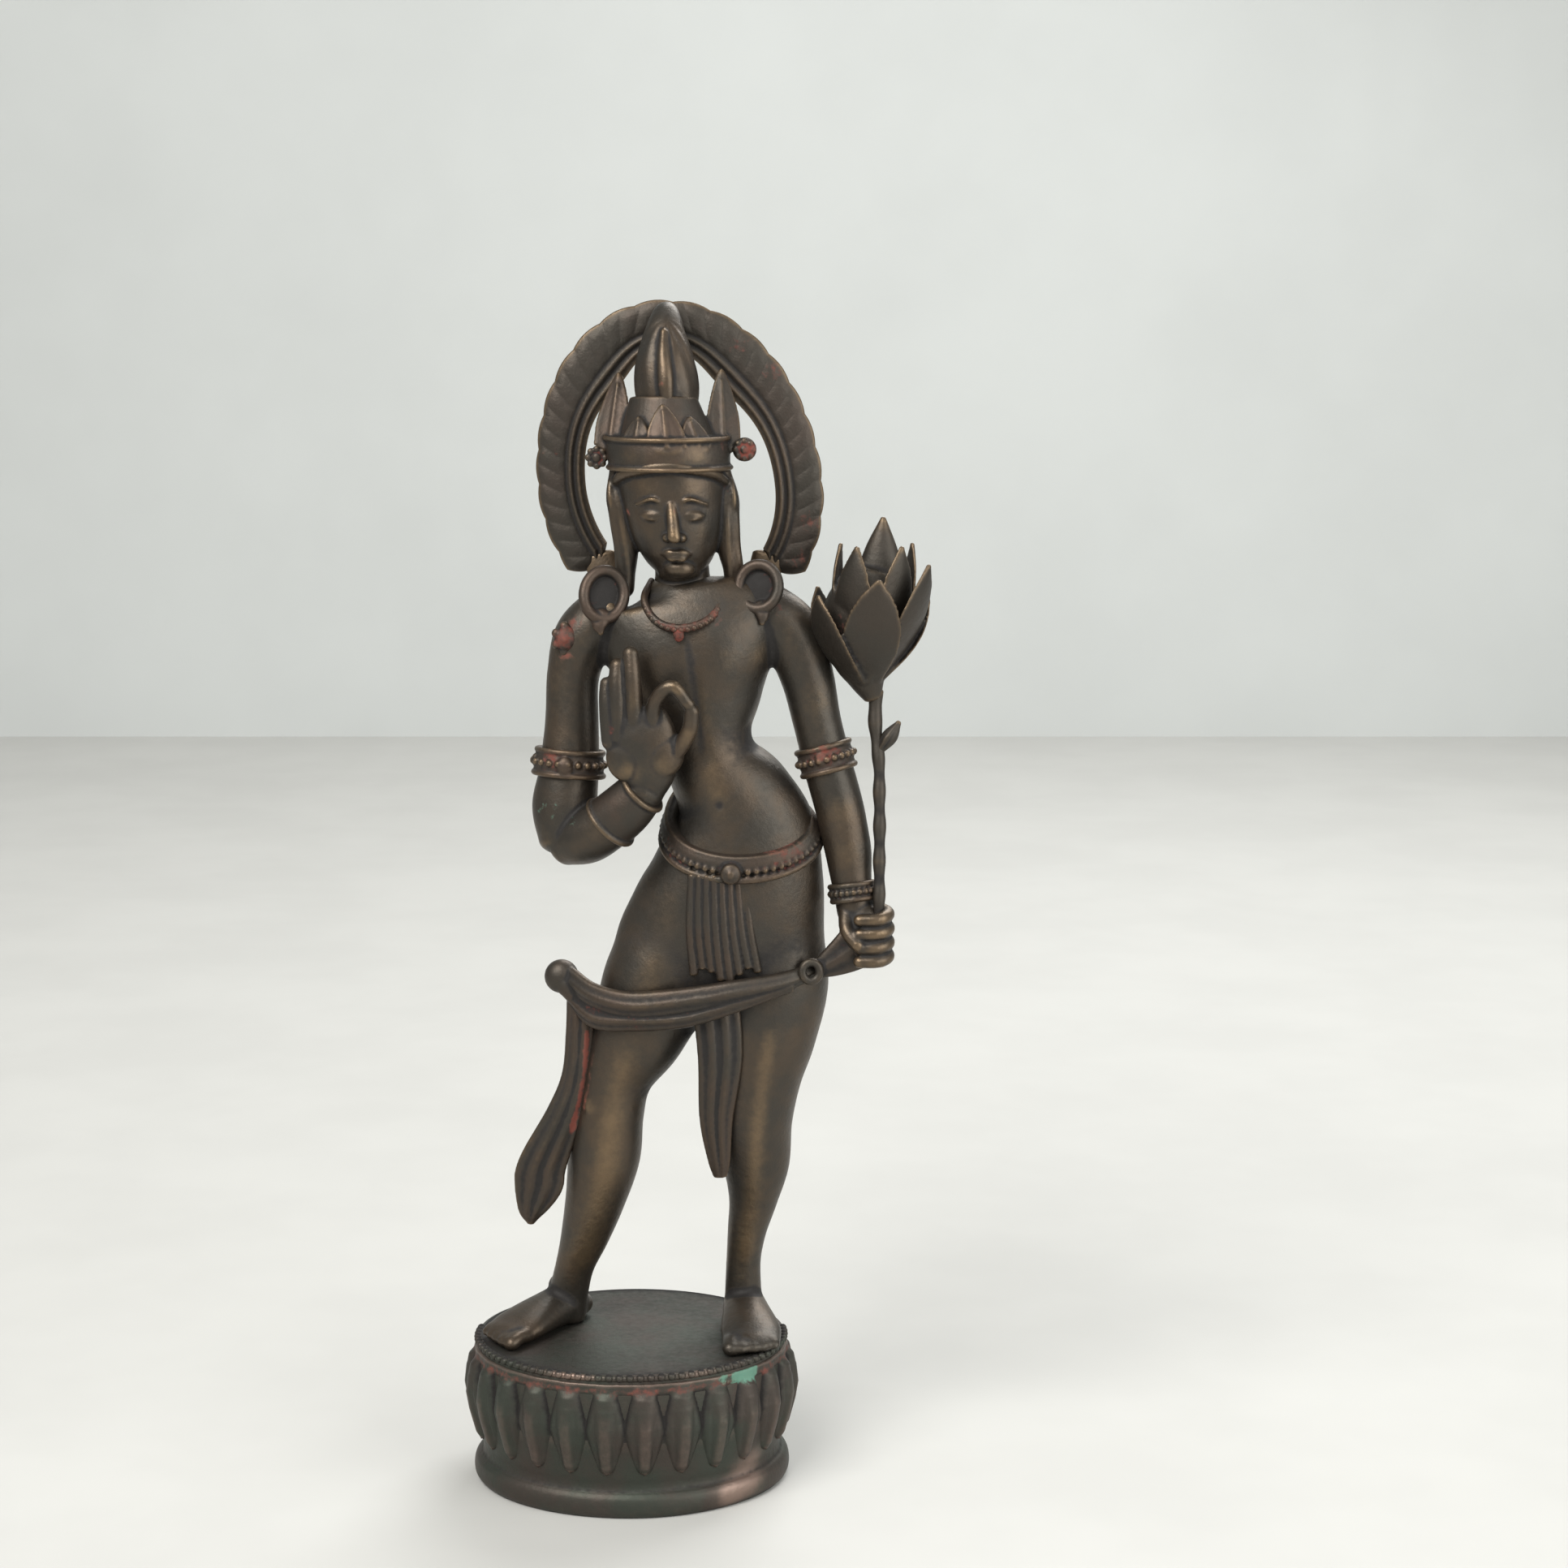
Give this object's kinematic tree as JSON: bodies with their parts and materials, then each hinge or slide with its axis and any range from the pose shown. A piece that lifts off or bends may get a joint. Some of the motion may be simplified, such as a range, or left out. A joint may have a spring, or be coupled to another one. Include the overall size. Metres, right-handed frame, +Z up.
{
  "type": "standing deity statue",
  "caption": "Cast brass lotus-bearing deity standing with a swung hip on an oval lotus pedestal, with an arched halo, crown, scarf and a lotus spray at the shoulder.",
  "frame": {"origin": "centre of the pedestal's foot ring, on the table plane", "axes": "+Z up through the figure, -Y towards the viewer, +X to the viewer's right"},
  "size_m": [0.0812, 0.049, 0.2011],
  "materials": {
    "pedestal_brass": "aged, dark brown, satin",
    "figure_brass": "aged, handled, satin with warm worn high spots",
    "halo_brass": "aged, dark brown, satin",
    "jewel_brass": "aged, dark, traces of vermilion in the recesses",
    "cloth_brass": "aged, dark, traces of vermilion in the recesses",
    "lotus_brass": "aged, dark brown, satin"
  },
  "bodies": {
    "root": {"pedestal": "pedestal_brass", "lotus_petals": "pedestal_brass", "bead_rim": "pedestal_brass", "hips_and_legs": "figure_brass", "foot_pins": "pedestal_brass", "torso": "figure_brass", "head": "figure_brass", "crown": "jewel_brass", "topknot": "figure_brass", "crown_rosettes": "jewel_brass", "halo": "halo_brass", "halo_rivets": "halo_brass", "right_earring": "jewel_brass", "left_earring": "jewel_brass", "necklace": "jewel_brass", "right_forearm": "figure_brass", "left_forearm": "figure_brass", "right_armlet": "jewel_brass", "left_armlet": "jewel_brass", "shoulder_ornament": "jewel_brass", "right_bracelet": "jewel_brass", "left_bracelet": "jewel_brass", "belt": "jewel_brass", "front_pleats": "cloth_brass", "scarf_band": "cloth_brass", "scarf_knot": "cloth_brass", "scarf_tail": "cloth_brass", "sash_tail": "cloth_brass", "lotus_stem": "lotus_brass", "lotus_bud": "lotus_brass", "lotus_flower": "lotus_brass"}
  },
  "joints": []
}
